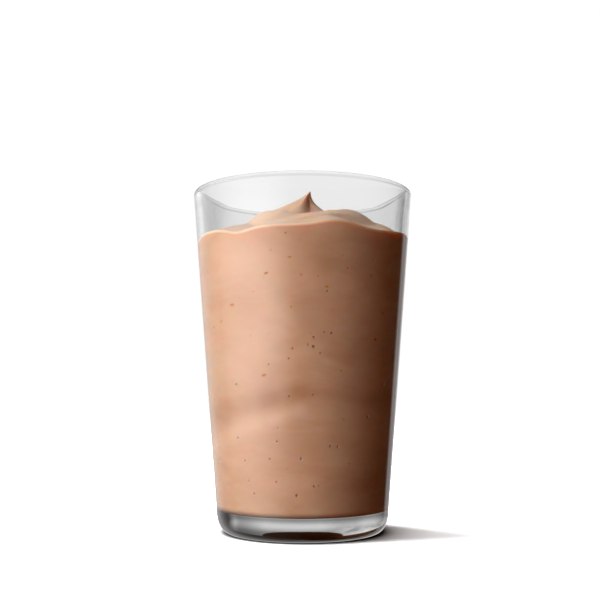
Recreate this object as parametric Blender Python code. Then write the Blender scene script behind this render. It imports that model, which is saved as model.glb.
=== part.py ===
"""A chocolate milkshake in its glass, as two solids.

glass: a plain tapered tumbler with a thick base, a hollow under it and a rounded rim.
milkshake: the thick drink inside, mounded above the line where it meets the glass, with folds
and a curled peak. The free surface is worked out by surface_height from the sizes below.

Units are metres and +Z is up. The origin is the centre of the foot, and the front faces -Y.
"""

import math

import bmesh
import bpy

MM = 0.001
SEGMENTS = 96  # facets round both solids, so that their walls stay parallel

# Glass
HEIGHT = 135.0 * MM
RADIUS_AT_RIM = 44.35 * MM  # the outer wall's line, taken up to the rim's height
RADIUS_AT_TABLE = 33.38 * MM  # the same line, taken down to the table
WALL = 3.0 * MM
BASE_THICKNESS = 8.9 * MM
CORNER_WIDTH = 4.9 * MM  # rounding between the wall and the underside
CORNER_HEIGHT = 8.2 * MM
INNER_CORNER = 2.5 * MM
RECESS_RADIUS = 27.0 * MM  # hollow under the base, which leaves a flat ring to stand on
RECESS_DEPTH = 4.7 * MM
ARC_STEPS = 7

# Milkshake
GAP = 0.3 * MM  # clearance between the drink and the glass
SURFACE_RINGS = 32
PEAK_X = 2.6 * MM
PEAK_Y = -4.0 * MM

# Line where the drink meets the glass. Angles are in degrees from the front, positive towards +X.
FILL_LEVEL = 115.9 * MM
FILL_WAVES = (  # angle, half width in degrees, height
    (-110, 16, 0.8 * MM),
    (-84, 12, -1.3 * MM),
    (-58, 12, 0.4 * MM),
    (-36, 10, -1.7 * MM),
    (18, 12, 1.9 * MM),
    (42, 8, -0.4 * MM),
    (72, 14, 0.8 * MM),
    (125, 20, -0.9 * MM),
    (165, 16, 1.1 * MM),
    (-150, 18, -0.8 * MM),
)

# Lower layer: rises from that line towards the middle
LAYER_RISE = 6.5 * MM
LAYER_POWER = 2.2
SHOULDERS = (  # x, y, radius, height of the broad swellings on it
    (32.5 * MM, -9.0 * MM, 8.0 * MM, 2.2 * MM),
    (-8.0 * MM, 30.0 * MM, 9.0 * MM, 1.2 * MM),
)

# Folds of thick drink laid round the peak. Each station is an angle, the distance of the crest from
# the peak's axis, its height, and the half widths of the fold inwards and outwards.
FOLD_DROP = 5.2 * MM  # how far a fold has fallen at its half width
FOLDS = (
    (  # the main fold, all the way round
        (-180, 17.0 * MM, 126.2 * MM, 9.0 * MM, 10.0 * MM),
        (-125, 18.5 * MM, 126.6 * MM, 9.0 * MM, 9.0 * MM),
        (-85, 15.5 * MM, 126.9 * MM, 11.0 * MM, 9.5 * MM),
        (-40, 14.5 * MM, 124.7 * MM, 8.0 * MM, 11.0 * MM),
        (-18, 13.5 * MM, 123.4 * MM, 7.5 * MM, 11.5 * MM),
        (4, 13.0 * MM, 123.9 * MM, 7.0 * MM, 12.0 * MM),
        (38, 13.0 * MM, 125.6 * MM, 8.0 * MM, 12.5 * MM),
        (75, 14.4 * MM, 127.2 * MM, 12.0 * MM, 11.0 * MM),
        (105, 16.4 * MM, 127.6 * MM, 12.0 * MM, 11.0 * MM),
        (145, 17.0 * MM, 127.0 * MM, 9.0 * MM, 10.0 * MM),
        (180, 17.0 * MM, 126.2 * MM, 9.0 * MM, 10.0 * MM),
    ),
    (  # the lobe lying over it at the front right
        (-30, 26.0 * MM, 116.5 * MM, 8.0 * MM, 5.0 * MM),
        (0, 25.0 * MM, 120.8 * MM, 9.0 * MM, 4.8 * MM),
        (26, 22.3 * MM, 122.8 * MM, 11.0 * MM, 4.6 * MM),
        (38, 21.8 * MM, 122.5 * MM, 11.0 * MM, 5.5 * MM),
        (60, 21.0 * MM, 117.0 * MM, 9.0 * MM, 7.0 * MM),
    ),
    (  # the low fold against the glass at the left
        (-125, 33.0 * MM, 116.0 * MM, 8.0 * MM, 7.0 * MM),
        (-85, 34.6 * MM, 117.9 * MM, 8.0 * MM, 7.0 * MM),
        (-58, 32.0 * MM, 117.6 * MM, 7.0 * MM, 8.0 * MM),
        (-40, 30.0 * MM, 115.0 * MM, 7.0 * MM, 8.0 * MM),
    ),
    (  # the fold at the back right
        (95, 31.0 * MM, 117.0 * MM, 8.0 * MM, 6.0 * MM),
        (130, 28.0 * MM, 121.8 * MM, 9.0 * MM, 6.5 * MM),
        (165, 26.0 * MM, 122.2 * MM, 9.0 * MM, 6.5 * MM),
        (200, 27.0 * MM, 117.5 * MM, 8.0 * MM, 6.0 * MM),
    ),
)
FOLD_SOFTNESS = 1.0 * MM  # rounding of the creases between folds
PEAK_SOFTNESS = 0.4 * MM  # rounding of the crease round the peak's foot

# Peak: a point that falls away slowly to the left and steeply to the front and the right
PEAK_TOP = 134.5 * MM
PEAK_FALL = 7.4 * MM  # how far it has fallen at the distances below
PEAK_SKIRT = 23.0 * MM  # distance at which its foot has dropped away as far again
PEAK_SIDES = (  # angle from the front, distance at which the peak has fallen that far, power of the fall
    (-180, 9.0 * MM, 0.70),
    (-90, 15.6 * MM, 0.72),
    (-32, 10.0 * MM, 0.85),
    (8, 4.6 * MM, 0.55),
    (90, 6.0 * MM, 0.55),
    (180, 9.0 * MM, 0.70),
)
PEAK_ROUNDING = 0.4 * MM
CURL_START = 131.0 * MM  # height from which the point leans over
CURL_LEAN = 0.6 * MM
HOLLOWS = (  # x, y, radius and depth of the dips beside the peak; a depth below zero is a small swelling
    (4.0 * MM, -11.0 * MM, 4.0 * MM, 1.6 * MM),
    (10.0 * MM, 4.0 * MM, 5.0 * MM, 1.2 * MM),
    (-8.3 * MM, -15.0 * MM, 2.2 * MM, -0.9 * MM),
)


def wall_radius(height):
    """Radius of the outer wall at a height."""
    return RADIUS_AT_TABLE + (RADIUS_AT_RIM - RADIUS_AT_TABLE) * height / HEIGHT


def contact_radius(height):
    """Radius of the milkshake where its side meets the free surface at a height."""
    return wall_radius(height) - WALL - GAP


def soft_step(value):
    """Ramp from 0 to 1 with level ends."""
    value = min(max(value, 0.0), 1.0)
    return value * value * (3 - 2 * value)


def soft_max(a, b, softness):
    """The larger of two heights, rounded where they cross."""
    return (a + b + math.hypot(a - b, softness)) / 2


def turn_between(a, b):
    """Angle from b to a in degrees, between -180 and 180."""
    return (a - b + 180) % 360 - 180


def fill_line(angle):
    """Height at which the drink meets the glass."""
    height = FILL_LEVEL
    for middle, half_width, size in FILL_WAVES:
        height += size * math.exp(-((turn_between(angle, middle) / half_width) ** 2))
    return height


def bumps(x, y, spots):
    """Sum of round swellings at a point."""
    total = 0.0
    for spot_x, spot_y, radius, size in spots:
        total += size * math.exp(-((x - spot_x) ** 2 + (y - spot_y) ** 2) / radius**2)
    return total


def between(stations, angle):
    """Values of a table of stations at an angle, or None past its ends."""
    for shift in (0, 360):
        for first, second in zip(stations, stations[1:]):
            if first[0] <= angle + shift <= second[0]:
                part = soft_step((angle + shift - first[0]) / (second[0] - first[0]))
                return [a + (b - a) * part for a, b in zip(first[1:], second[1:])]
    return None


def fold_height(fold, distance, angle):
    """Height of one fold at a distance and angle from the peak's axis, or None past its ends."""
    values = between(fold, angle)
    if values is None:
        return None
    radius, crest, inwards, outwards = values
    away = distance - radius
    return crest - FOLD_DROP * (away / (outwards if away > 0 else inwards)) ** 2


def peak_height(x, y):
    """Height of the peak's own slopes at a point."""
    distance = math.hypot(x - PEAK_X, y - PEAK_Y)
    angle = math.degrees(math.atan2(x - PEAK_X, PEAK_Y - y))
    reach, power = between(PEAK_SIDES, angle)
    rounded = math.hypot(distance, PEAK_ROUNDING) - PEAK_ROUNDING
    return PEAK_TOP - PEAK_FALL * ((rounded / reach) ** power + (distance / PEAK_SKIRT) ** 6)


def surface_height(x, y):
    """Height of the free surface above the table at a point inside the glass."""
    angle = math.degrees(math.atan2(x, -y))
    line = fill_line(angle)
    share = min(math.hypot(x, y) / contact_radius(line), 1.0)
    height = line + LAYER_RISE * (1 - share**LAYER_POWER) + bumps(x, y, SHOULDERS) * (1 - share**8)
    distance = math.hypot(x - PEAK_X, y - PEAK_Y)
    turn = math.degrees(math.atan2(x - PEAK_X, PEAK_Y - y))
    for fold in FOLDS:
        crest = fold_height(fold, distance, turn)
        if crest is not None:
            height = soft_max(height, crest, FOLD_SOFTNESS)
    height -= bumps(x, y, HOLLOWS)
    height = soft_max(height, peak_height(x, y), PEAK_SOFTNESS)
    # the last stretch meets the glass at the fill line
    return line + (height - line) * (1 - share**24)


def material(name, colour, roughness, transmission=0.0):
    """A Principled material."""
    made = bpy.data.materials.new(name)
    made.use_nodes = True
    shader = made.node_tree.nodes["Principled BSDF"]
    shader.inputs["Base Color"].default_value = (*colour, 1)
    shader.inputs["Roughness"].default_value = roughness
    shader.inputs["Metallic"].default_value = 0.0
    shader.inputs["Transmission Weight"].default_value = transmission
    made.diffuse_color = (*colour, 1)
    return made


def arc(centre_r, centre_z, width, height, start, end, steps):
    """Points of an elliptical arc in the profile plane, from one angle to another in degrees."""
    points = []
    for step in range(steps + 1):
        angle = math.radians(start + (end - start) * step / steps)
        points.append((centre_r + width * math.cos(angle), centre_z + height * math.sin(angle)))
    return points


def inner_profile(offset):
    """Inside of the glass from the middle of its floor to the rim's level, moved in by offset."""
    floor = BASE_THICKNESS + offset
    corner = INNER_CORNER - offset
    corner_r = wall_radius(floor + corner) - WALL - offset - corner
    points = [(0.0, floor), (corner_r * 0.5, floor)]
    points += arc(corner_r, floor + corner, corner, corner, -90, 0, 4)
    return points


def spun(name, profile, surface_material):
    """A solid of revolution about Z from a profile of (radius, height) points."""
    mesh = bpy.data.meshes.new(name)
    shape = bmesh.new()
    corners = [shape.verts.new((0, -radius, height)) for radius, height in profile]
    for first, second in zip(corners, corners[1:]):
        shape.edges.new((first, second))
    bmesh.ops.spin(
        shape,
        geom=shape.verts[:] + shape.edges[:],
        cent=(0, 0, 0),
        axis=(0, 0, 1),
        angle=2 * math.pi,
        steps=SEGMENTS,
        use_merge=True,
    )
    bmesh.ops.remove_doubles(shape, verts=shape.verts[:], dist=0.001 * MM)
    bmesh.ops.recalc_face_normals(shape, faces=shape.faces[:])
    for face in shape.faces:
        face.smooth = True
    shape.to_mesh(mesh)
    shape.free()
    mesh.materials.append(surface_material)
    solid = bpy.data.objects.new(name, mesh)
    bpy.context.scene.collection.objects.link(solid)
    return solid


def make_glass():
    """The tumbler: hollow, rounded corner, outer wall, rim and inside, spun in one piece."""
    recess_steps = 10
    profile = []
    for step in range(recess_steps + 1):
        share = math.sin(math.pi / 2 * step / recess_steps)  # the rings lie closer near the hollow's edge
        profile.append((RECESS_RADIUS * share, RECESS_DEPTH * (1 - share**6)))
    corner_r = wall_radius(CORNER_HEIGHT) - CORNER_WIDTH
    profile += arc(corner_r, CORNER_HEIGHT, CORNER_WIDTH, CORNER_HEIGHT, -90, 0, ARC_STEPS)
    rim = WALL / 2
    rim_r = wall_radius(HEIGHT - rim) - rim
    profile += arc(rim_r, HEIGHT - rim, rim, rim, 0, 180, ARC_STEPS + 1)
    profile += reversed(inner_profile(0.0))
    return spun("glass", profile, material("clear glass", (0.93, 0.95, 0.95), 0.02, 1.0))


def make_milkshake():
    """The drink: the glass's inside shape with a gap round it, under the free surface."""
    profile = inner_profile(GAP)
    top_r = contact_radius(FILL_LEVEL)
    profile.append((top_r, FILL_LEVEL))
    for ring in range(1, SURFACE_RINGS + 1):
        share = 1 - ring / SURFACE_RINGS
        profile.append((top_r * share**1.15, FILL_LEVEL))
    solid = spun("milkshake", profile, material("chocolate milkshake", (0.46, 0.27, 0.18), 0.4))
    for vertex in solid.data.vertices:
        if vertex.co.z > FILL_LEVEL - 0.01 * MM:
            raise_surface(vertex, top_r)
    return solid


def raise_surface(vertex, top_r):
    """Moves a vertex of the flat disc at the fill level onto the free surface."""
    x, y = vertex.co.x, vertex.co.y
    share = math.hypot(x, y) / top_r
    line = fill_line(math.degrees(math.atan2(x, -y)))
    spread = contact_radius(line) / top_r
    x = x * spread + PEAK_X * (1 - share)
    y = y * spread + PEAK_Y * (1 - share)
    height = surface_height(x, y)
    lean = max(height - CURL_START, 0.0) / (PEAK_TOP - CURL_START)
    vertex.co = (x + CURL_LEAN * lean**2, y, height)


def main():
    for old in list(bpy.data.objects):
        bpy.data.objects.remove(old)
    make_glass()
    make_milkshake()


main()
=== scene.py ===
"""The looks of a chocolate milkshake in its glass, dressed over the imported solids.

tumbler: the clear glass with its rounded rim, thick base and recessed foot.
milkshake_body: the drink, which reaches just into the wall so that no air shows between them.
Units are metres, +Z is up, and the front faces -Y.
"""

import math
import random

import bmesh
import bpy
from bpy.props import FloatProperty, FloatVectorProperty, PointerProperty
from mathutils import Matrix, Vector
from mathutils.kdtree import KDTree


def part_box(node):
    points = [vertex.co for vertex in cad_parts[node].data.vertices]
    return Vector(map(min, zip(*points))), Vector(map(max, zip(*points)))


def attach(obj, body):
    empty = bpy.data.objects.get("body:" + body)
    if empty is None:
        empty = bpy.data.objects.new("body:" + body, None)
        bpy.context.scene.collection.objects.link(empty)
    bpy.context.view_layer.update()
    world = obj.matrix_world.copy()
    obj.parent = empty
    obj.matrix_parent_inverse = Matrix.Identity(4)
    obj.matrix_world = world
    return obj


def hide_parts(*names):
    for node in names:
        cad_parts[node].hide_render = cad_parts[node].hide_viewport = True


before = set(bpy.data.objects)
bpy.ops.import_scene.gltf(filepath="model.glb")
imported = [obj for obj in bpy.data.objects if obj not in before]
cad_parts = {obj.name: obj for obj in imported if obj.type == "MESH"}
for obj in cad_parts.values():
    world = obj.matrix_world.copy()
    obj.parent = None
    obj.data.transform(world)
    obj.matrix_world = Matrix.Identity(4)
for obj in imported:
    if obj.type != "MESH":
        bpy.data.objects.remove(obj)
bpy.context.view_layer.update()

bl_info = {
    "name": "Chocolate Milkshake in a Glass",
    "version": (1, 0, 0),
    "blender": (4, 5, 0),
    "location": "View3D > Sidebar > Milkshake",
    "description": "Builds a tapered tumbler filled with thick chocolate milkshake",
    "category": "Add Mesh",
}

MM = 0.001
GLASS_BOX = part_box("glass")
GLASS_HEIGHT = GLASS_BOX[1][2] - GLASS_BOX[0][2]

# Free surface of the drink, with the same named sizes as the solid.
# Angles are in degrees from the front, positive towards +X.
FILL_WAVES = (  # angle, half width in degrees, height
    (-110, 16, 0.8 * MM),
    (-84, 12, -1.3 * MM),
    (-58, 12, 0.4 * MM),
    (-36, 10, -1.7 * MM),
    (18, 12, 1.9 * MM),
    (42, 8, -0.4 * MM),
    (72, 14, 0.8 * MM),
    (125, 20, -0.9 * MM),
    (165, 16, 1.1 * MM),
    (-150, 18, -0.8 * MM),
)
LAYER_POWER = 2.2
SHOULDER_POWER = 8  # how late the swellings fade towards the glass
EDGE_POWER = 24  # how late the surface comes down to the fill line
SHOULDERS = (  # x, y, radius, height of the broad swellings on the lower layer
    (32.5 * MM, -9.0 * MM, 8.0 * MM, 2.2 * MM),
    (-8.0 * MM, 30.0 * MM, 9.0 * MM, 1.2 * MM),
)
FOLD_DROP = 5.2 * MM
FOLDS = (  # stations: angle, the crest's distance from the peak, its height, inner and outer width
    (
        (-180, 17.0 * MM, 126.2 * MM, 9.0 * MM, 10.0 * MM),
        (-125, 18.5 * MM, 126.6 * MM, 9.0 * MM, 9.0 * MM),
        (-85, 15.5 * MM, 126.9 * MM, 11.0 * MM, 9.5 * MM),
        (-40, 14.5 * MM, 124.7 * MM, 8.0 * MM, 11.0 * MM),
        (-18, 13.5 * MM, 123.4 * MM, 7.5 * MM, 11.5 * MM),
        (4, 13.0 * MM, 123.9 * MM, 7.0 * MM, 12.0 * MM),
        (38, 13.0 * MM, 125.6 * MM, 8.0 * MM, 12.5 * MM),
        (75, 14.4 * MM, 127.2 * MM, 12.0 * MM, 11.0 * MM),
        (105, 16.4 * MM, 127.6 * MM, 12.0 * MM, 11.0 * MM),
        (145, 17.0 * MM, 127.0 * MM, 9.0 * MM, 10.0 * MM),
        (180, 17.0 * MM, 126.2 * MM, 9.0 * MM, 10.0 * MM),
    ),
    (
        (-30, 26.0 * MM, 116.5 * MM, 8.0 * MM, 5.0 * MM),
        (0, 25.0 * MM, 120.8 * MM, 9.0 * MM, 4.8 * MM),
        (26, 22.3 * MM, 122.8 * MM, 11.0 * MM, 4.6 * MM),
        (38, 21.8 * MM, 122.5 * MM, 11.0 * MM, 5.5 * MM),
        (60, 21.0 * MM, 117.0 * MM, 9.0 * MM, 7.0 * MM),
    ),
    (
        (-125, 33.0 * MM, 116.0 * MM, 8.0 * MM, 7.0 * MM),
        (-85, 34.6 * MM, 117.9 * MM, 8.0 * MM, 7.0 * MM),
        (-58, 32.0 * MM, 117.6 * MM, 7.0 * MM, 8.0 * MM),
        (-40, 30.0 * MM, 115.0 * MM, 7.0 * MM, 8.0 * MM),
    ),
    (
        (95, 31.0 * MM, 117.0 * MM, 8.0 * MM, 6.0 * MM),
        (130, 28.0 * MM, 121.8 * MM, 9.0 * MM, 6.5 * MM),
        (165, 26.0 * MM, 122.2 * MM, 9.0 * MM, 6.5 * MM),
        (200, 27.0 * MM, 117.5 * MM, 8.0 * MM, 6.0 * MM),
    ),
)
FOLD_SOFTNESS = 1.0 * MM
PEAK_SOFTNESS = 0.4 * MM
PEAK_X = 2.6 * MM
PEAK_Y = -4.0 * MM
PEAK_FALL = 7.4 * MM
PEAK_SKIRT = 23.0 * MM
PEAK_SIDES = (  # angle, distance at which the peak has fallen by PEAK_FALL, power of the fall
    (-180, 9.0 * MM, 0.70),
    (-90, 15.6 * MM, 0.72),
    (-32, 10.0 * MM, 0.85),
    (8, 4.6 * MM, 0.55),
    (90, 6.0 * MM, 0.55),
    (180, 9.0 * MM, 0.70),
)
PEAK_ROUNDING = 0.4 * MM
CURL_START = 131.0 * MM
CURL_LEAN = 0.6 * MM
HOLLOWS = (  # x, y, radius and depth of the dips beside the peak; a negative depth is a swelling
    (4.0 * MM, -11.0 * MM, 4.0 * MM, 1.6 * MM),
    (10.0 * MM, 4.0 * MM, 5.0 * MM, 1.2 * MM),
    (-8.3 * MM, -15.0 * MM, 2.2 * MM, -0.9 * MM),
)

# What shows against the glass: angle from the front, height, half width.
BUBBLES = (
    (6, 71.4 * MM, 0.62 * MM),
    (6, 74.8 * MM, 0.42 * MM),
    (10, 69.0 * MM, 0.36 * MM),
    (12, 76.6 * MM, 0.36 * MM),
    (16, 76.3 * MM, 0.44 * MM),
    (-9, 112.7 * MM, 0.36 * MM),
    (-43, 57.8 * MM, 0.42 * MM),
    (-8, 53.4 * MM, 0.40 * MM),
    (-8, 67.0 * MM, 0.34 * MM),
    (-16, 36.8 * MM, 0.48 * MM),
    (-21, 30.5 * MM, 0.46 * MM),
    (-1, 30.7 * MM, 0.58 * MM),
    (22, 34.9 * MM, 0.42 * MM),
    (17, 35.3 * MM, 0.46 * MM),
    (-57, 19.4 * MM, 0.50 * MM),
    (-33, 17.6 * MM, 0.44 * MM),
    (-4, 17.5 * MM, 0.52 * MM),
    (7, 20.9 * MM, 0.42 * MM),
    (-39, 29.5 * MM, 0.34 * MM),
    (-44, 37.9 * MM, 0.38 * MM),
    (43, 45.6 * MM, 0.46 * MM),
    (-20, 65.0 * MM, 0.30 * MM),
)
SPECKS = (
    (-20, 98.2 * MM, 0.85 * MM),
    (-43, 87.3 * MM, 0.95 * MM),
    (-23, 61.0 * MM, 0.90 * MM),
    (-7, 103.8 * MM, 0.55 * MM),
    (-17, 106.7 * MM, 0.40 * MM),
    (-1, 97.3 * MM, 0.42 * MM),
    (-65, 101.1 * MM, 0.45 * MM),
    (13, 93.1 * MM, 0.60 * MM),
    (46, 74.5 * MM, 0.70 * MM),
)
SCATTERED = (  # how many more, kind, smallest and largest half width
    (120, "bubble", 0.16 * MM, 0.36 * MM),
    (26, "speck", 0.22 * MM, 0.45 * MM),
)
SCATTERED_SEED = 11
FINE_PATCH = 0.75 * MM  # how far the finer mesh reaches past each mark
BUBBLE_DEPTH = 0.7  # as a share of the bubble's half width
MARK_CORE = 0.4  # share of the half width up to which a mark has its full colour
MARK_END = 1.3  # share at which the colour has gone
PAINTED_EDGE_SHARE = 0.7  # strength of the painted light: a pale edge where the drink meets the glass
CONTACT_TALL = 0.42 * MM
CONTACT_DEEP = 0.7 * MM
# Broad strokes of the blender, and one band of painted shade: angle and height of both ends, half
# width, paler (+) or darker (-).
STROKES_AND_SHADE = (
    (-75, 46.0 * MM, -20, 51.9 * MM, 4.2 * MM, -1.2),
    (-20, 51.9 * MM, -2, 54.9 * MM, 3.8 * MM, -1.0),
    (-2, 54.9 * MM, 60, 53.0 * MM, 4.2 * MM, -0.8),
    (-70, 35.5 * MM, -17, 45.0 * MM, 3.6 * MM, 1.1),
    (-17, 45.0 * MM, -2, 48.6 * MM, 2.4 * MM, 1.0),
    (-47, 103.6 * MM, -22, 102.3 * MM, 7.5 * MM, 0.7),
    (1, 111.7 * MM, 12, 102.8 * MM, 5.5 * MM, -0.5),
    (12, 102.8 * MM, 7, 88.2 * MM, 6.0 * MM, -0.4),
    (21, 19.0 * MM, 90, 22.0 * MM, 7.5 * MM, -0.9),
    (-24, 92.1 * MM, -13, 81.0 * MM, 6.0 * MM, 0.45),
    (-13, 81.0 * MM, -26, 70.0 * MM, 6.0 * MM, 0.45),
    (-2, 84.5 * MM, 25, 66.5 * MM, 4.5 * MM, -0.35),
    (28, 92.0 * MM, 62, 79.0 * MM, 5.0 * MM, 0.4),
    # painted shade: a tall dark band down the left side, where the light falls off
    (-82, 16.0 * MM, -82, 112.0 * MM, 13.0 * MM, -1.1),
    (100, 92.0 * MM, 150, 84.0 * MM, 6.0 * MM, 0.7),
    (150, 84.0 * MM, 205, 90.0 * MM, 5.0 * MM, 0.5),
    (110, 60.0 * MM, 190, 52.0 * MM, 5.0 * MM, -0.8),
    (190, 52.0 * MM, 250, 60.0 * MM, 4.5 * MM, -0.6),
    (120, 34.0 * MM, 230, 40.0 * MM, 4.0 * MM, 0.7),
    (215, 104.0 * MM, 260, 96.0 * MM, 6.0 * MM, -0.6),
)

# Glass
GLASS_TINT = (0.87, 0.875, 0.87)
GLASS_IOR = 1.5
RIM_TINT = (0.93, 0.93, 0.93)
RIM_IOR = 1.05
PAINTED_RIM_LINE_TINT = (0.3, 0.3, 0.3)  # painted shade: a thin grey line under the rim's rounding, standing in for a dark refracted edge
PAINTED_STREAK_TINT = (0.7, 0.7, 0.7)  # painted light: streaks standing in for light gathered in the base at the lower right
BASE_PAINTED_LIGHT_AND_SHADE = (  # painted shade and painted light in the thick base, standing in for the shadowed floor seen through it: height, share of the light that the base's colour lets in there
    (0.0 * MM, 0.02),
    (3.2 * MM, 0.03),
    (4.5 * MM, 0.08),
    (5.6 * MM, 0.40),
    (6.6 * MM, 0.62),
    (7.6 * MM, 0.25),
    (8.6 * MM, 0.04),
    (9.3 * MM, 0.12),
    (10.4 * MM, 1.0),
    (12.0 * MM, 1.0),
)

# Studio
CAMERA_PLACE = (-1.043 * MM, -373.35 * MM, 56.69 * MM)
CAMERA_TILT = 5.353  # degrees above level
CAMERA_LENS = 55.52
AIM = (0, 0, 70.0 * MM)  # what the lamps point at
GLOW_START = 32.0 * MM  # from the axis, where the floor starts to glow with painted light
GLOW_REACH = 20.0 * MM  # over which what it lacks of full brightness falls to about a third
CONTACT_SHADOW_SHIFT = (0.4 * MM, 1.0 * MM, 0)  # moves the painted contact shadow towards the light's side
# the painted contact shadow darkens the floor's colour from the outer radius in to the inner one
CONTACT_SHADOW_INNER = 29.5 * MM
CONTACT_SHADOW_OUTER = 38.5 * MM
WALL_STOPS = (  # direction in degrees from straight behind the glass, brightness of the wall
    (-180, 0.02),
    (-110, 0.15),
    (-60, 0.5),
    (-40, 0.98),
    (-32, 0.98),
    (-25, 0.76),
    (-15, 0.78),
    (-8, 1.02),
    (16, 1.02),
    (20, 0.85),
    (27, 0.6),
    (33, 0.5),
    (38, 0.75),
    (42, 0.35),
    (46, 0.02),
    (60, 0.0),
    (180, 0.0),
)


def length(name, description, default):
    """A length property in metres."""
    return FloatProperty(
        name=name,
        description=description,
        default=default,
        min=0.0,
        unit="LENGTH",
        subtype="DISTANCE",
    )


def colour(name, description, default):
    """A colour property in scene-linear light."""
    return FloatVectorProperty(
        name=name,
        description=description,
        default=default,
        min=0.0,
        max=1.0,
        size=3,
        subtype="COLOR",
    )


class TumblerSizes(bpy.types.PropertyGroup):
    """Sizes of the glass."""

    height: length("Height", "From the table to the top of the rim", GLASS_HEIGHT)
    radius_at_rim: length("Radius at the rim", "Of the outer wall's line, at the top", 44.35 * MM)
    radius_at_table: length("Radius at the table", "Of the same line, at the table", 33.38 * MM)
    wall: length("Wall", "Thickness of the side", 3.0 * MM)
    base: length("Base", "Thickness of the glass under the drink", 8.9 * MM)
    corner_width: length("Corner width", "Rounding between side and foot, across", 4.9 * MM)
    corner_height: length("Corner height", "Rounding between side and foot, upwards", 8.2 * MM)
    inner_corner: length("Inner corner", "Rounding inside, between side and floor", 2.5 * MM)
    recess_radius: length("Recess radius", "Of the hollow under the base", 27.0 * MM)
    recess_depth: length("Recess depth", "Of the hollow under the base", 4.7 * MM)


class MilkshakeSizes(bpy.types.PropertyGroup):
    """Sizes of the drink."""

    fill_level: length("Fill level", "Mean height of the line where it meets the glass", 115.9 * MM)
    layer_rise: length("Layer rise", "How far the lower layer rises to the middle", 6.5 * MM)
    peak_top: length("Peak top", "Height of the point", 134.5 * MM)
    into_wall: length("Into the wall", "How far it reaches into the glass", 0.05 * MM)


class MilkshakeColours(bpy.types.PropertyGroup):
    """Colours of the drink."""

    body: colour("Body", "Blended milk and chocolate", (0.63, 0.41, 0.28))
    cream: colour("Cream", "Paler swirls", (0.75, 0.535, 0.395))
    cocoa: colour("Cocoa", "Darker swirls", (0.50, 0.29, 0.18))
    # painted light: the thin pale edge at the fill line, where light shows through the thin drink
    # against the glass
    painted_edge_light: colour("Painted edge light", "Thin pale edge at the glass", (0.78, 0.60, 0.46))
    # painted shade: the dark inside of the open bubbles, over their real pits
    bubble: colour("Bubble", "Inside the open bubbles", (0.24, 0.095, 0.045))
    speck: colour("Speck", "Specks of syrup", (0.50, 0.17, 0.03))


def wall_radius(glass, height):
    """Radius of the outer wall at a height."""
    flare = glass.radius_at_rim - glass.radius_at_table
    return glass.radius_at_table + flare * height / glass.height


def soft_step(value):
    """Ramp from 0 to 1 with level ends."""
    value = min(max(value, 0.0), 1.0)
    return value * value * (3 - 2 * value)


def soft_max(a, b, softness):
    """The larger of two heights, rounded where they cross."""
    return (a + b + math.hypot(a - b, softness)) / 2


def turn_between(a, b):
    """Angle from b to a in degrees, between -180 and 180."""
    return (a - b + 180) % 360 - 180


def arc(centre_r, centre_z, width, height, start, end, steps):
    """Points of an elliptical arc in the profile plane, from one angle to another in degrees."""
    points = []
    for step in range(steps + 1):
        angle = math.radians(start + (end - start) * step / steps)
        points.append((centre_r + width * math.cos(angle), centre_z + height * math.sin(angle)))
    return points


def line(start, end, steps):
    """Points between two profile points, without either of them."""
    return [
        tuple(a + (b - a) * step / steps for a, b in zip(start, end)) for step in range(1, steps)
    ]


class FreeSurface:
    """The drink's free surface as a height over the glass's floor plan."""

    def __init__(self, glass, drink):
        self.glass = glass
        self.drink = drink

    def contact_radius(self, height):
        """Radius of the drink's side at a height."""
        return wall_radius(self.glass, height) - self.glass.wall + self.drink.into_wall

    def fill_line(self, angle):
        """Height at which the drink meets the glass."""
        height = self.drink.fill_level
        for middle, half_width, size in FILL_WAVES:
            height += size * math.exp(-((turn_between(angle, middle) / half_width) ** 2))
        return height

    def peak_height(self, x, y):
        """Height of the peak's own slopes at a point."""
        distance = math.hypot(x - PEAK_X, y - PEAK_Y)
        angle = math.degrees(math.atan2(x - PEAK_X, PEAK_Y - y))
        reach, power = between(PEAK_SIDES, angle)
        rounded = math.hypot(distance, PEAK_ROUNDING) - PEAK_ROUNDING
        fall = (rounded / reach) ** power + (distance / PEAK_SKIRT) ** 6
        return self.drink.peak_top - PEAK_FALL * fall

    def height(self, x, y):
        """Height of the surface above the table at a point."""
        line_z = self.fill_line(math.degrees(math.atan2(x, -y)))
        share = min(math.hypot(x, y) / self.contact_radius(line_z), 1.0)
        height = line_z + self.drink.layer_rise * (1 - share**LAYER_POWER)
        height += bumps(x, y, SHOULDERS) * (1 - share**SHOULDER_POWER)
        distance = math.hypot(x - PEAK_X, y - PEAK_Y)
        turn = math.degrees(math.atan2(x - PEAK_X, PEAK_Y - y))
        for fold in FOLDS:
            crest = fold_height(fold, distance, turn)
            if crest is not None:
                height = soft_max(height, crest, FOLD_SOFTNESS)
        height -= bumps(x, y, HOLLOWS)
        height = soft_max(height, self.peak_height(x, y), PEAK_SOFTNESS)
        return line_z + (height - line_z) * (1 - share**EDGE_POWER)


def stroke_and_shade_tone(angle, radius, height):
    """How much paler (+) or darker (-) the broad strokes and the painted shade band make a place on
    the side.
    """
    tone = 0.0
    for angle_a, height_a, angle_b, height_b, half_width, amount in STROKES_AND_SHADE:
        span = angle_b - angle_a
        turn = turn_between(angle, (angle_a + angle_b) / 2)
        across = math.radians(turn) * radius
        half = math.radians(span / 2) * radius
        rise = (height_b - height_a) / 2
        reach = max(half * half + rise * rise, 1e-12)
        up = height - (height_a + height_b) / 2
        share = min(max((across * half + up * rise) / reach, -1.0), 1.0)
        away = math.hypot(across - share * half, up - share * rise)
        tone += amount * math.exp(-((away / half_width) ** 2))
    return tone


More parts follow.
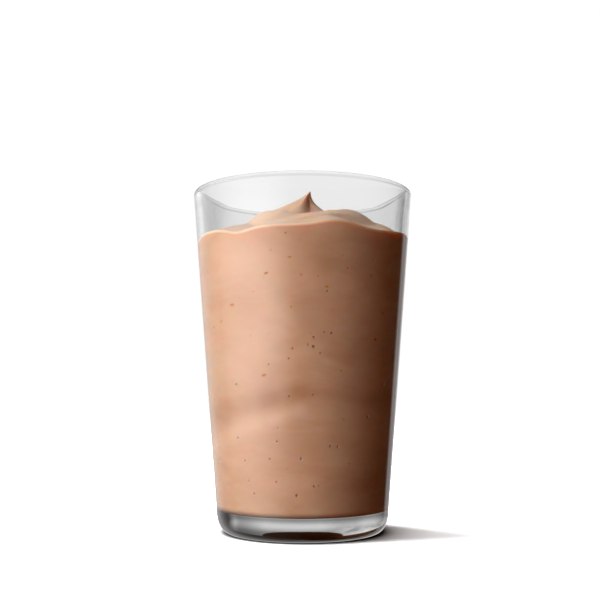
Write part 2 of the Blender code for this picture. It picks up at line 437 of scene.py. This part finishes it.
def bumps(x, y, spots):
    """Sum of round swellings at a point."""
    total = 0.0
    for spot_x, spot_y, radius, size in spots:
        total += size * math.exp(-((x - spot_x) ** 2 + (y - spot_y) ** 2) / radius**2)
    return total


def between(stations, angle):
    """Values of a table of stations at an angle, or None past its ends."""
    for shift in (0, 360):
        for first, second in zip(stations, stations[1:]):
            if first[0] <= angle + shift <= second[0]:
                part = soft_step((angle + shift - first[0]) / (second[0] - first[0]))
                return [a + (b - a) * part for a, b in zip(first[1:], second[1:])]
    return None


def fold_height(fold, distance, angle):
    """Height of one fold at a distance and angle from the peak's axis, or None past its ends."""
    values = between(fold, angle)
    if values is None:
        return None
    radius, crest, inwards, outwards = values
    away = distance - radius
    return crest - FOLD_DROP * (away / (outwards if away > 0 else inwards)) ** 2


def spun_shape(profile, segments):
    """A bmesh of revolution about Z from a profile of (radius, height) points."""
    shape = bmesh.new()
    corners = [shape.verts.new((0, -radius, height)) for radius, height in profile]
    for first, second in zip(corners, corners[1:]):
        shape.edges.new((first, second))
    bmesh.ops.spin(
        shape,
        geom=shape.verts[:] + shape.edges[:],
        cent=(0, 0, 0),
        axis=(0, 0, 1),
        angle=2 * math.pi,
        steps=segments,
        use_merge=True,
    )
    bmesh.ops.remove_doubles(shape, verts=shape.verts[:], dist=0.0005 * MM)
    bmesh.ops.recalc_face_normals(shape, faces=shape.faces[:])
    for face in shape.faces:
        face.smooth = True
    return shape


def finished(name, shape, materials, node):
    """Turns a bmesh into a piece that stands for a node of the frame."""
    mesh = bpy.data.meshes.new(name)
    shape.to_mesh(mesh)
    shape.free()
    for material in materials:
        mesh.materials.append(material)
    piece = bpy.data.objects.new(name, mesh)
    bpy.context.scene.collection.objects.link(piece)
    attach(piece, "root")
    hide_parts(node)
    return piece


class NodeBench:
    """Adds and links the nodes of one material or world."""

    def __init__(self, owner):
        owner.use_nodes = True
        self.tree = owner.node_tree
        self.tree.nodes.clear()

    def add(self, kind, inputs=None, **settings):
        """A node with its settings and its socket values or links."""
        node = self.tree.nodes.new(kind)
        for key, value in settings.items():
            setattr(node, key, value)
        for key, value in (inputs or {}).items():
            socket = node.inputs[key]
            if isinstance(value, bpy.types.NodeSocket):
                self.tree.links.new(value, socket)
            else:
                socket.default_value = value
        return node


def noise(bench, place, scale, detail, roughness=0.5, distortion=0.0):
    """Grey value of a noise texture."""
    inputs = {"Vector": place, "Scale": scale, "Detail": detail}
    inputs.update({"Roughness": roughness, "Distortion": distortion})
    return bench.add("ShaderNodeTexNoise", inputs).outputs["Fac"]


def ranged(bench, value, low, high, to_low, to_high, kind="SMOOTHSTEP"):
    """A value carried from one range to another and kept inside it."""
    return bench.add(
        "ShaderNodeMapRange",
        {"Value": value, "From Min": low, "From Max": high, "To Min": to_low, "To Max": to_high},
        interpolation_type=kind,
    ).outputs[0]


def worked(bench, operation, a, b=0.0, **settings):
    """The result of one maths operation, on one value or two."""
    return bench.add("ShaderNodeMath", {0: a, 1: b}, operation=operation, **settings).outputs[0]


def blended(bench, share, a, b):
    """Two colours mixed; a colour may be a socket or three numbers."""
    mix = bench.add("ShaderNodeMix", data_type="RGBA")
    for index, value in ((0, share), (6, a), (7, b)):
        if isinstance(value, bpy.types.NodeSocket):
            bench.tree.links.new(value, mix.inputs[index])
        else:
            mix.inputs[index].default_value = value if index == 0 else (*value, 1)
    return mix.outputs[2]


def ramped(bench, share, stops, interpolation="LINEAR"):
    """A colour along a ramp whose stops are a place between 0 and 1 and a colour."""
    node = bench.add("ShaderNodeValToRGB", {0: share})
    ramp = node.color_ramp
    ramp.interpolation = interpolation
    while len(ramp.elements) < len(stops):
        ramp.elements.new(0.5)
    for element, (place, tint) in zip(ramp.elements, stops):
        element.position = place
        element.color = (*tint, 1)
    return node.outputs["Color"]


def mixed(bench, share, shader_a, shader_b):
    """Two shaders mixed, the second one by its share."""
    inputs = {0: share, 1: shader_a, 2: shader_b}
    return bench.add("ShaderNodeMixShader", inputs).outputs[0]


def painted_base_streaks(bench, place, across, height):
    """Share of the painted light streaks in the lower right of the base, from 0 to 1."""
    slanted = bench.add(
        "ShaderNodeMapping", {"Vector": place, "Rotation": (0, 0.5, 0), "Scale": (0.6, 0.6, 3.0)}
    ).outputs[0]
    painted_streaks = ranged(bench, noise(bench, slanted, 160.0, 2.0, 0.5, 0.6), 0.38, 0.6, 0.15, 1.0)
    to_right = ranged(bench, across, 8.0 * MM, 20.0 * MM, 0.0, 1.0)
    above_foot = ranged(bench, height, 1.0 * MM, 3.0 * MM, 0.0, 1.0)
    below_band = ranged(bench, height, 5.0 * MM, 7.0 * MM, 1.0, 0.0)
    low_down = worked(bench, "MULTIPLY", above_foot, below_band)
    return worked(bench, "MULTIPLY", worked(bench, "MULTIPLY", to_right, low_down), painted_streaks)


def clear_glass(name, tint, ior, coat, painted_line_height):
    """Clear glass that lets the lamps' light, and what the drink throws back, straight through; its
    colour has painted shade and light bands low in the base, painted light streaks at the lower
    right and a painted grey line under the rim.
    """
    material = bpy.data.materials.new(name)
    bench = NodeBench(material)
    place = bench.add("ShaderNodeTexCoord").outputs["Object"]
    where = bench.add("ShaderNodeSeparateXYZ", {0: place})
    height = where.outputs["Z"]
    ramp_top = BASE_PAINTED_LIGHT_AND_SHADE[-1][0]
    up_the_base = ranged(bench, height, 0.0, ramp_top, 0.0, 1.0, "LINEAR")
    stops = [(level / ramp_top, [part * share for part in tint]) for level, share in BASE_PAINTED_LIGHT_AND_SHADE]
    # painted shade and painted light: bands of the base's colour by height
    base = ramped(bench, up_the_base, stops, "B_SPLINE")
    # painted light: streaks lighten the base's colour at the lower right
    painted_streaks = painted_base_streaks(bench, place, where.outputs["X"], height)
    painted_entry = blended(bench, painted_streaks, base, PAINTED_STREAK_TINT)
    from_inside = bench.add("ShaderNodeNewGeometry").outputs["Backfacing"]
    through = blended(bench, from_inside, painted_entry, tint)
    # painted shade: a thin grey line at the foot of the rim's rounding
    from_rim = worked(bench, "ABSOLUTE", worked(bench, "SUBTRACT", height, painted_line_height))
    painted_line_share = ranged(bench, from_rim, 0.1 * MM, 0.5 * MM, 0.35, 0.0)
    through = blended(bench, painted_line_share, through, PAINTED_RIM_LINE_TINT)
    glass = bench.add(
        "ShaderNodeBsdfPrincipled",
        {
            "Base Color": through,
            "Roughness": 0.0,
            "IOR": ior,
            "Transmission Weight": 1.0,
            "Coat Weight": coat,
            "Coat Roughness": 0.0,
        },
    ).outputs[0]
    passed = ranged(bench, height, 6.0 * MM, 11.0 * MM, 0.6, 0.95)
    clear = bench.add("ShaderNodeBsdfTransparent", {"Color": passed}).outputs[0]
    path = bench.add("ShaderNodeLightPath")
    lamps_pass = mixed(bench, path.outputs["Is Shadow Ray"], glass, clear)
    bounces_pass = mixed(bench, path.outputs["Is Diffuse Ray"], lamps_pass, clear)
    bench.add("ShaderNodeOutputMaterial", {"Surface": bounces_pass})
    return material


def milkshake_finish(name, colours, roughness, specular, relief, depth, painted_paleness):
    """Thick blended milkshake: cloudy strokes with a painted shade band, veins, bubbles with
    painted shade inside, specks, a pale edge of painted light at the glass, and a tone painted
    paler by the paleness.
    """
    material = bpy.data.materials.new(name)
    bench = NodeBench(material)
    place = bench.add("ShaderNodeTexCoord").outputs["Object"]
    lying = bench.add("ShaderNodeMapping", {"Vector": place, "Scale": (1.0, 1.0, 2.4)}).outputs[0]
    clouds = noise(bench, lying, 26.0, 3.0, 0.5, 1.6)
    wisps = noise(bench, lying, 75.0, 4.0, 0.55, 2.2)
    stroke = bench.add("ShaderNodeAttribute", attribute_name="stroke").outputs["Fac"]
    stroke_and_shade_part = worked(bench, "MULTIPLY", stroke, 0.62)
    # the paleness paints the whole tone lighter: painted light on the open top
    cloud_part = ranged(bench, clouds, 0.3, 0.7, -0.22 + painted_paleness, 0.22 + painted_paleness)
    tone = worked(bench, "ADD", stroke_and_shade_part, cloud_part)
    tone = worked(bench, "ADD", tone, ranged(bench, wisps, 0.3, 0.7, -0.07, 0.07))
    paler = blended(bench, worked(bench, "MAXIMUM", tone, 0.0), colours.body, colours.cream)
    darker = worked(bench, "MAXIMUM", worked(bench, "MULTIPLY", tone, -1.0), 0.0)
    shade = blended(bench, darker, paler, colours.cocoa)
    swirl = worked(bench, "SUBTRACT", noise(bench, lying, 34.0, 2.0, 0.4, 3.0), 0.5)
    vein = ranged(bench, worked(bench, "ABSOLUTE", swirl), 0.0, 0.006, 0.22, 0.0)
    shade = blended(bench, vein, shade, colours.cocoa)
    marked = 0.0
    # the bubble colour paints shade inside the pits, the contact colour paints the light at the
    # fill line
    marks = {"bubble": colours.bubble, "speck": colours.speck, "contact": colours.painted_edge_light}
    for mark, tint in marks.items():
        share = bench.add("ShaderNodeAttribute", attribute_name=mark).outputs["Fac"]
        shade = blended(bench, share, shade, tint)
        marked = worked(bench, "MAXIMUM", marked, share)
    light_spread = worked(bench, "SUBTRACT", 1.0, marked)
    grain = noise(bench, place, 900.0, 3.0, 0.6)
    bump = bench.add("ShaderNodeBump", {"Height": grain, "Strength": relief, "Distance": 0.3 * MM})
    skin = bench.add(
        "ShaderNodeBsdfPrincipled",
        {
            "Base Color": shade,
            "Roughness": roughness,
            "IOR": 1.36,
            "Specular IOR Level": specular,
            "Subsurface Weight": light_spread,
            "Subsurface Radius": (1.0, 0.4, 0.2),
            "Subsurface Scale": depth,
            "Normal": bump.outputs[0],
        },
    )
    bench.add("ShaderNodeOutputMaterial", {"Surface": skin.outputs[0]})
    return material


class MESH_OT_tumbler(bpy.types.Operator):
    """Builds the clear tapered tumbler"""

    bl_idname = "mesh.milkshake_tumbler"
    bl_label = "Tumbler"

    segments = 240
    recess_steps = 24
    corner_steps = 16
    rim_steps = 14
    inner_steps = 8
    wall_rows = 12
    floor_rows = 6

    def execute(self, context):
        glass = context.scene.tumbler_sizes
        rim_z = glass.height - glass.wall / 2
        shape = spun_shape(self.profile(glass, rim_z), self.segments)
        for face in shape.faces:
            if face.calc_center_median().z > rim_z:
                face.material_index = 1
        body = clear_glass("clear glass", GLASS_TINT, GLASS_IOR, 0.0, rim_z)
        rim = clear_glass("rim glass", RIM_TINT, RIM_IOR, 1.0, rim_z)
        finished("tumbler", shape, (body, rim), "glass")
        return {"FINISHED"}

    def profile(self, glass, rim_z):
        """Outline of half the glass: under the base, up outside, over the rim, down inside."""
        points = []
        for step in range(self.recess_steps + 1):
            share = step / self.recess_steps
            points.append((glass.recess_radius * share, glass.recess_depth * (1 - share**6)))
        width, tall = glass.corner_width, glass.corner_height
        corner_r = wall_radius(glass, tall) - width
        points += arc(corner_r, tall, width, tall, -90, 0, self.corner_steps)
        rim = glass.wall / 2
        rim_arc = arc(wall_radius(glass, rim_z) - rim, rim_z, rim, rim, 0, 180, self.rim_steps)
        points += line(points[-1], rim_arc[0], self.wall_rows)
        points += rim_arc
        floor = glass.base
        corner = glass.inner_corner
        inner_r = wall_radius(glass, floor + corner) - glass.wall - corner
        inner = arc(inner_r, floor + corner, corner, corner, 0, -90, self.inner_steps)
        points += line(points[-1], inner[0], self.wall_rows)
        points += inner
        points += line(points[-1], (0.0, floor), self.floor_rows)
        points.append((0.0, floor))
        return points


def nearest_of(shape):
    """The corners of a bmesh and a search tree over them."""
    corners = list(shape.verts)
    near = KDTree(len(corners))
    for index, vertex in enumerate(corners):
        near.insert(vertex.co, index)
    near.balance()
    return corners, near


class MESH_OT_milkshake(bpy.types.Operator):
    """Builds the drink with its folds, its peak and the bubbles that show against the glass"""

    bl_idname = "mesh.milkshake_body"
    bl_label = "Milkshake"

    surface_rings = 110
    ring_spacing = 1.15  # above 1, the rings lie closer near the peak
    wall_rows = 90
    floor_rows = 6
    corner_steps = 8
    segments = 320

    def execute(self, context):
        drink = context.scene.milkshake_sizes
        surface = FreeSurface(context.scene.tumbler_sizes, drink)
        corner_z = surface.glass.base + surface.glass.inner_corner
        top_r = surface.contact_radius(drink.fill_level)
        shape = spun_shape(self.profile(surface, corner_z, top_r), self.segments)
        kinds = ("contact", "stroke", "bubble", "speck")
        layers = {kind: shape.verts.layers.float.new(kind) for kind in kinds}
        for vertex in shape.verts:
            if vertex.co.z > drink.fill_level - 0.001 * MM:
                self.raise_surface(vertex, surface, top_r)
            elif vertex.co.z > corner_z:
                self.raise_side(vertex, surface, corner_z)
            radius = math.hypot(vertex.co.x, vertex.co.y)
            angle = math.degrees(math.atan2(vertex.co.x, -vertex.co.y))
            below = (surface.fill_line(angle) - vertex.co.z) / CONTACT_TALL
            inside = (surface.contact_radius(vertex.co.z) - radius) / CONTACT_DEEP
            # painted light: the pale edge just under the fill line
            vertex[layers["contact"]] = PAINTED_EDGE_SHARE * math.exp(-(below**2) - inside**2)
            vertex[layers["stroke"]] = stroke_and_shade_tone(angle, radius, vertex.co.z)
        self.add_marks(shape, surface, layers)
        for face in shape.faces:
            middle = face.calc_center_median()
            angle = math.degrees(math.atan2(middle.x, -middle.y))
            inside = surface.contact_radius(middle.z) - math.hypot(middle.x, middle.y)
            if middle.z > surface.fill_line(angle) - 0.3 * MM and inside > 0.15 * MM:
                face.material_index = 1
            face.smooth = True
        bmesh.ops.recalc_face_normals(shape, faces=shape.faces[:])
        colours = context.scene.milkshake_colours
        against_glass = milkshake_finish(
            "milkshake against glass",
            colours,
            roughness=0.6,
            specular=0.0,
            relief=0.0,
            depth=6.0 * MM,
            painted_paleness=0.0,
        )
        open_top = milkshake_finish(
            "milkshake top",
            colours,
            roughness=0.45,
            specular=0.15,
            relief=0.12,
            depth=2.0 * MM,
            # painted light: the open top's tone is painted paler than the side
            painted_paleness=0.15,
        )
        materials = (against_glass, open_top)
        finished("milkshake_body", shape, materials, "milkshake")
        return {"FINISHED"}

    def profile(self, surface, corner_z, top_r):
        """Outline of half the drink, flat at the fill level: its floor, its side and its top."""
        level = surface.drink.fill_level
        floor = surface.glass.base - surface.drink.into_wall
        corner = surface.glass.inner_corner + surface.drink.into_wall
        corner_r = surface.contact_radius(corner_z) - corner
        points = [(0.0, floor)]
        points += line((0.0, floor), (corner_r, floor), self.floor_rows)
        points += arc(corner_r, corner_z, corner, corner, -90, 0, self.corner_steps)
        points += line(points[-1], (top_r, level), self.wall_rows)
        points.append((top_r, level))
        for ring in range(1, self.surface_rings + 1):
            share = 1 - ring / self.surface_rings
            points.append((top_r * share**self.ring_spacing, level))
        return points

    @staticmethod
    def placed_marks(surface):
        """The bubbles and specks, with a place on the side and a shape of its own for each."""
        draw = random.Random(SCATTERED_SEED)
        marks = [(*mark, "bubble") for mark in BUBBLES] + [(*mark, "speck") for mark in SPECKS]
        for count, kind, least, most in SCATTERED:
            for _ in range(count):
                size = least + (most - least) * draw.random() ** 2.5
                marks.append((draw.uniform(-180, 180), draw.uniform(15, 112) * MM, size, kind))
        places = []
        for angle, height, size, kind in marks:
            turn = math.radians(angle)
            outwards = Vector((math.sin(turn), -math.cos(turn), 0.0))
            middle = outwards * surface.contact_radius(height) + Vector((0, 0, height))
            tilt = draw.uniform(-0.3, 0.5)
            wide = 1.0 if kind == "bubble" else draw.uniform(1.0, 1.25)
            tall = draw.uniform(0.8, 1.0) if kind == "bubble" else draw.uniform(0.5, 0.65)
            places.append((middle, outwards, size, kind, tilt, wide, tall))
        return places

    def add_marks(self, shape, surface, layers):
        """Sinks round bubbles into the side, marks them for their painted shade and colours the
        specks, on patches of finer mesh.
        """
        places = self.placed_marks(surface)
        listed = len(BUBBLES) + len(SPECKS)
        for group, cuts in ((places[:listed], 5), (places[listed:], 3)):
            corners, near = nearest_of(shape)
            edges = set()
            for middle, _, size, *_ in group:
                for _, index, _ in near.find_range(middle, size + FINE_PATCH):
                    edges.update(corners[index].link_edges)
            bmesh.ops.subdivide_edges(shape, edges=list(edges), cuts=cuts, use_grid_fill=True)
        corners, near = nearest_of(shape)
        for middle, outwards, size, kind, tilt, wide, tall in places:
            along = Vector((0, 0, 1)).cross(outwards)
            for _, index, _ in near.find_range(middle, size * 2):
                vertex = corners[index]
                away = vertex.co - middle
                across, up = away.dot(along), away.z
                across, up = across + tilt * up, up - tilt * across
                share = math.hypot(across / wide, up / tall) / size
                if share < MARK_END:
                    faded = soft_step((share - MARK_CORE) / (MARK_END - MARK_CORE))
                    vertex[layers[kind]] = max(vertex[layers[kind]], 1 - faded)
                    if kind == "bubble" and share < 1:
                        vertex.co -= outwards * size * BUBBLE_DEPTH * math.sqrt(1 - share**2)

    @staticmethod
    def raise_side(vertex, surface, corner_z):
        """Moves a vertex of the side up or down, so that the top row follows the fill line."""
        x, y, z = vertex.co
        level = surface.drink.fill_level
        line_z = surface.fill_line(math.degrees(math.atan2(x, -y)))
        share = (z - corner_z) / (level - corner_z)
        height = z + (line_z - level) * share
        spread = surface.contact_radius(height) / math.hypot(x, y)
        vertex.co = (x * spread, y * spread, height)

    @staticmethod
    def raise_surface(vertex, surface, top_r):
        """Moves a vertex of the flat disc at the fill level onto the free surface."""
        x, y = vertex.co.x, vertex.co.y
        share = math.hypot(x, y) / top_r
        line_z = surface.fill_line(math.degrees(math.atan2(x, -y)))
        spread = surface.contact_radius(line_z) / top_r
        x = x * spread + PEAK_X * (1 - share)
        y = y * spread + PEAK_Y * (1 - share)
        height = surface.height(x, y)
        lean = max(height - CURL_START, 0.0) / (surface.drink.peak_top - CURL_START)
        vertex.co = (x + CURL_LEAN * lean**2, y, height)


def softbox(name, azimuth, distance, height, width, tall, power, feather=(0, 0), tint=(1, 1, 1)):
    """A rectangular lamp that the camera doesn't see, fading out towards its sides and ends.

    The azimuth is in degrees from the front, positive towards +X.
    """
    data = bpy.data.lights.new(name, "AREA")
    data.shape = "RECTANGLE"
    data.size = width
    data.size_y = tall
    data.energy = power
    data.color = tint
    bench = NodeBench(data)
    spot = bench.add("ShaderNodeNewGeometry").outputs["Parametric"]
    across = bench.add("ShaderNodeSeparateXYZ", {0: spot})
    strength = 1.0
    for axis, soft in zip("XY", feather):
        from_middle = worked(bench, "SUBTRACT", across.outputs[axis], 0.5)
        from_middle = worked(bench, "ABSOLUTE", from_middle)
        fade = ranged(bench, from_middle, 0.5, 0.5 - max(soft, 0.001) / 2, 0.0, 1.0)
        strength = worked(bench, "MULTIPLY", strength, fade)
    glow = bench.add("ShaderNodeEmission", {"Strength": strength})
    bench.add("ShaderNodeOutputLight", {"Surface": glow.outputs[0]})
    lamp = bpy.data.objects.new(name, data)
    bpy.context.scene.collection.objects.link(lamp)
    angle = math.radians(azimuth)
    place = Vector((distance * math.sin(angle), -distance * math.cos(angle), height))
    lamp.location = place
    lamp.rotation_euler = (Vector(AIM) - place).to_track_quat("-Z", "Y").to_euler()
    lamp.visible_camera = False
    return lamp


def unreflected(lamp):
    """Keeps a lamp out of reflections and of what shows through the glass."""
    lamp.visible_glossy = False
    lamp.visible_transmission = False


def shines_on(lamp, things):
    """Keeps a lamp's light on the given objects."""
    lit = bpy.data.collections.new(lamp.name + "_lit")
    for thing in things:
        lit.objects.link(thing)
    lamp.light_linking.receiver_collection = lit


def studio_floor():
    """White floor with painted light and shade: a painted glow makes it bright away from the glass,
    the lamps alone light it close to it, a painted contact shadow darkens it at the foot, and it is
    painted darker where seen through the glass.
    """
    shape = bmesh.new()
    bmesh.ops.create_grid(shape, x_segments=8, y_segments=8, size=6.0)
    mesh = bpy.data.meshes.new("studio_floor")
    shape.to_mesh(mesh)
    shape.free()
    material = bpy.data.materials.new("studio floor")
    bench = NodeBench(material)
    place = bench.add("ShaderNodeTexCoord").outputs["Object"]
    away = bench.add("ShaderNodeVectorMath", {0: place}, operation="LENGTH").outputs["Value"]
    # painted light: the floor glows more the farther it is from the glass
    steps_in = worked(bench, "DIVIDE", worked(bench, "SUBTRACT", GLOW_START, away), GLOW_REACH)
    left = worked(bench, "EXPONENT", steps_in)
    glow = worked(bench, "SUBTRACT", 1.0, left, use_clamp=True)
    moved = bench.add("ShaderNodeVectorMath", {0: place, 1: CONTACT_SHADOW_SHIFT}, operation="ADD").outputs[0]
    from_foot = bench.add("ShaderNodeVectorMath", {0: moved}, operation="LENGTH").outputs["Value"]
    # painted shadow: the floor's colour darkens towards the foot
    painted_contact_shadow = ranged(bench, from_foot, CONTACT_SHADOW_INNER, CONTACT_SHADOW_OUTER, 0.01, 0.85)
    tint = blended(bench, painted_contact_shadow, (0, 0, 0), (1, 1, 1))
    matt = bench.add("ShaderNodeBsdfDiffuse", {"Color": tint})
    lit = bench.add("ShaderNodeEmission", {"Strength": glow})
    open_floor = bench.add("ShaderNodeAddShader", {0: matt.outputs[0], 1: lit.outputs[0]})
    path = bench.add("ShaderNodeLightPath")
    # painted shade: seen through the glass, the floor is darkened towards black
    painted_shade_through_glass = worked(bench, "MULTIPLY", path.outputs["Is Transmission Ray"], 0.7)
    black = bench.add("ShaderNodeBsdfDiffuse", {"Color": (0, 0, 0, 1)})
    both = mixed(bench, painted_shade_through_glass, open_floor.outputs[0], black.outputs[0])
    bench.add("ShaderNodeOutputMaterial", {"Surface": both})
    mesh.materials.append(material)
    floor = bpy.data.objects.new("studio_floor", mesh)
    bpy.context.scene.collection.objects.link(floor)
    floor.visible_diffuse = False
    floor.visible_glossy = False
    return floor


def studio_world():
    """White to the camera, a wall behind the glass that greys to one side, and a dim warm fill.

    The warm fill reaches matt surfaces alone and is stronger from below, as off a table.
    """
    world = bpy.data.worlds.new("studio")
    bpy.context.scene.world = world
    bench = NodeBench(world)
    path = bench.add("ShaderNodeLightPath")
    direction = bench.add("ShaderNodeTexCoord").outputs["Generated"]
    heading = bench.add("ShaderNodeSeparateXYZ", {0: direction})
    turn = worked(bench, "ARCTAN2", heading.outputs["X"], heading.outputs["Y"])
    share = ranged(bench, turn, -math.pi, math.pi, 0.0, 1.0, "LINEAR")
    stops = [((angle + 180) / 360, (level, level, level)) for angle, level in WALL_STOPS]
    wall = ramped(bench, share, stops)
    downwards = worked(bench, "MULTIPLY", heading.outputs["Z"], -1.0)
    from_table = ranged(bench, downwards, 0.6, 0.95, 0.05, 0.5)
    fill = bench.add(
        "ShaderNodeBackground", {"Color": (1.0, 0.45, 0.22, 1), "Strength": from_table}
    ).outputs[0]
    room = bench.add("ShaderNodeBackground", {"Color": wall, "Strength": 1.0}).outputs[0]
    white = bench.add(
        "ShaderNodeBackground", {"Color": (1, 1, 1, 1), "Strength": 1.02}
    ).outputs[0]
    by_diffuse = mixed(bench, path.outputs["Is Diffuse Ray"], room, fill)
    by_camera = mixed(bench, path.outputs["Is Camera Ray"], by_diffuse, white)
    bench.add("ShaderNodeOutputWorld", {"Surface": by_camera})


class SCENE_OT_studio(bpy.types.Operator):
    """Sets the white floor, the soft lamps and the camera"""

    bl_idname = "scene.milkshake_studio"
    bl_label = "Studio"

    def execute(self, context):
        scene = context.scene
        floor = studio_floor()
        studio_world()
        dressed = [bpy.data.objects[name] for name in ("tumbler", "milkshake_body")]
        key = softbox(
            "key_lamp",
            azimuth=-48,
            distance=0.85,
            height=0.26,
            width=0.6,
            tall=0.7,
            power=8.9,
            tint=(1.0, 0.99, 0.97),
        )
        card = softbox(
            "warm_card",
            azimuth=-16,
            distance=0.85,
            height=0.15,
            width=0.5,
            tall=0.6,
            power=1.3,
            tint=(1.0, 0.52, 0.34),
        )
        veil = softbox(
            "veil_lamp",
            azimuth=-56,
            distance=0.85,
            height=0.0,
            width=2.0,
            tall=0.7,
            power=11.5,
            feather=(1.0, 1.0),
        )
        top = softbox(
            "top_lamp", azimuth=-84, distance=0.55, height=0.85, width=0.4, tall=0.4, power=6.2
        )
        floor_lamp = softbox(
            "floor_lamp", azimuth=-102, distance=0.6, height=0.40, width=0.8, tall=0.4, power=60.0
        )
        for lamp in (key, card, veil, top):
            shines_on(lamp, dressed)
        shines_on(floor_lamp, [floor])
        veil.visible_diffuse = False
        for lamp in (key, card, top, floor_lamp):
            unreflected(lamp)
        camera_data = bpy.data.cameras.new("camera")
        camera_data.sensor_width = 36.0
        camera_data.lens = CAMERA_LENS
        camera_data.clip_start = 0.01
        camera = bpy.data.objects.new("camera", camera_data)
        scene.collection.objects.link(camera)
        camera.location = CAMERA_PLACE
        camera.rotation_euler = (math.radians(90 + CAMERA_TILT), 0, 0)
        scene.camera = camera
        scene.view_settings.view_transform = "Standard"
        scene.view_settings.look = "None"
        return {"FINISHED"}


class VIEW3D_PT_milkshake(bpy.types.Panel):
    """Lists the sizes, the colours and the steps"""

    bl_idname = "VIEW3D_PT_milkshake"
    bl_label = "Milkshake"
    bl_space_type = "VIEW_3D"
    bl_region_type = "UI"
    bl_category = "Milkshake"

    def draw(self, context):
        column = self.layout.column()
        for step in STEPS:
            column.operator(step.bl_idname)
        for group in (context.scene.tumbler_sizes, context.scene.milkshake_sizes):
            for name in group.__annotations__:
                column.prop(group, name)
        for name in context.scene.milkshake_colours.__annotations__:
            column.prop(context.scene.milkshake_colours, name)


STEPS = (MESH_OT_tumbler, MESH_OT_milkshake, SCENE_OT_studio)
GROUPS = (TumblerSizes, MilkshakeSizes, MilkshakeColours)


def register():
    """Registers the sizes, the colours, the steps and the panel."""
    for group in GROUPS:
        bpy.utils.register_class(group)
    for step in STEPS:
        bpy.utils.register_class(step)
    bpy.utils.register_class(VIEW3D_PT_milkshake)
    bpy.types.Scene.tumbler_sizes = PointerProperty(type=TumblerSizes)
    bpy.types.Scene.milkshake_sizes = PointerProperty(type=MilkshakeSizes)
    bpy.types.Scene.milkshake_colours = PointerProperty(type=MilkshakeColours)


def unregister():
    """Undoes register."""
    del bpy.types.Scene.milkshake_colours
    del bpy.types.Scene.milkshake_sizes
    del bpy.types.Scene.tumbler_sizes
    bpy.utils.unregister_class(VIEW3D_PT_milkshake)
    for step in reversed(STEPS):
        bpy.utils.unregister_class(step)
    for group in reversed(GROUPS):
        bpy.utils.unregister_class(group)


def main():
    """Builds the glass, the drink and the studio."""
    register()
    bpy.ops.mesh.milkshake_tumbler()
    bpy.ops.mesh.milkshake_body()
    bpy.ops.scene.milkshake_studio()


if __name__ == "__main__":
    main()
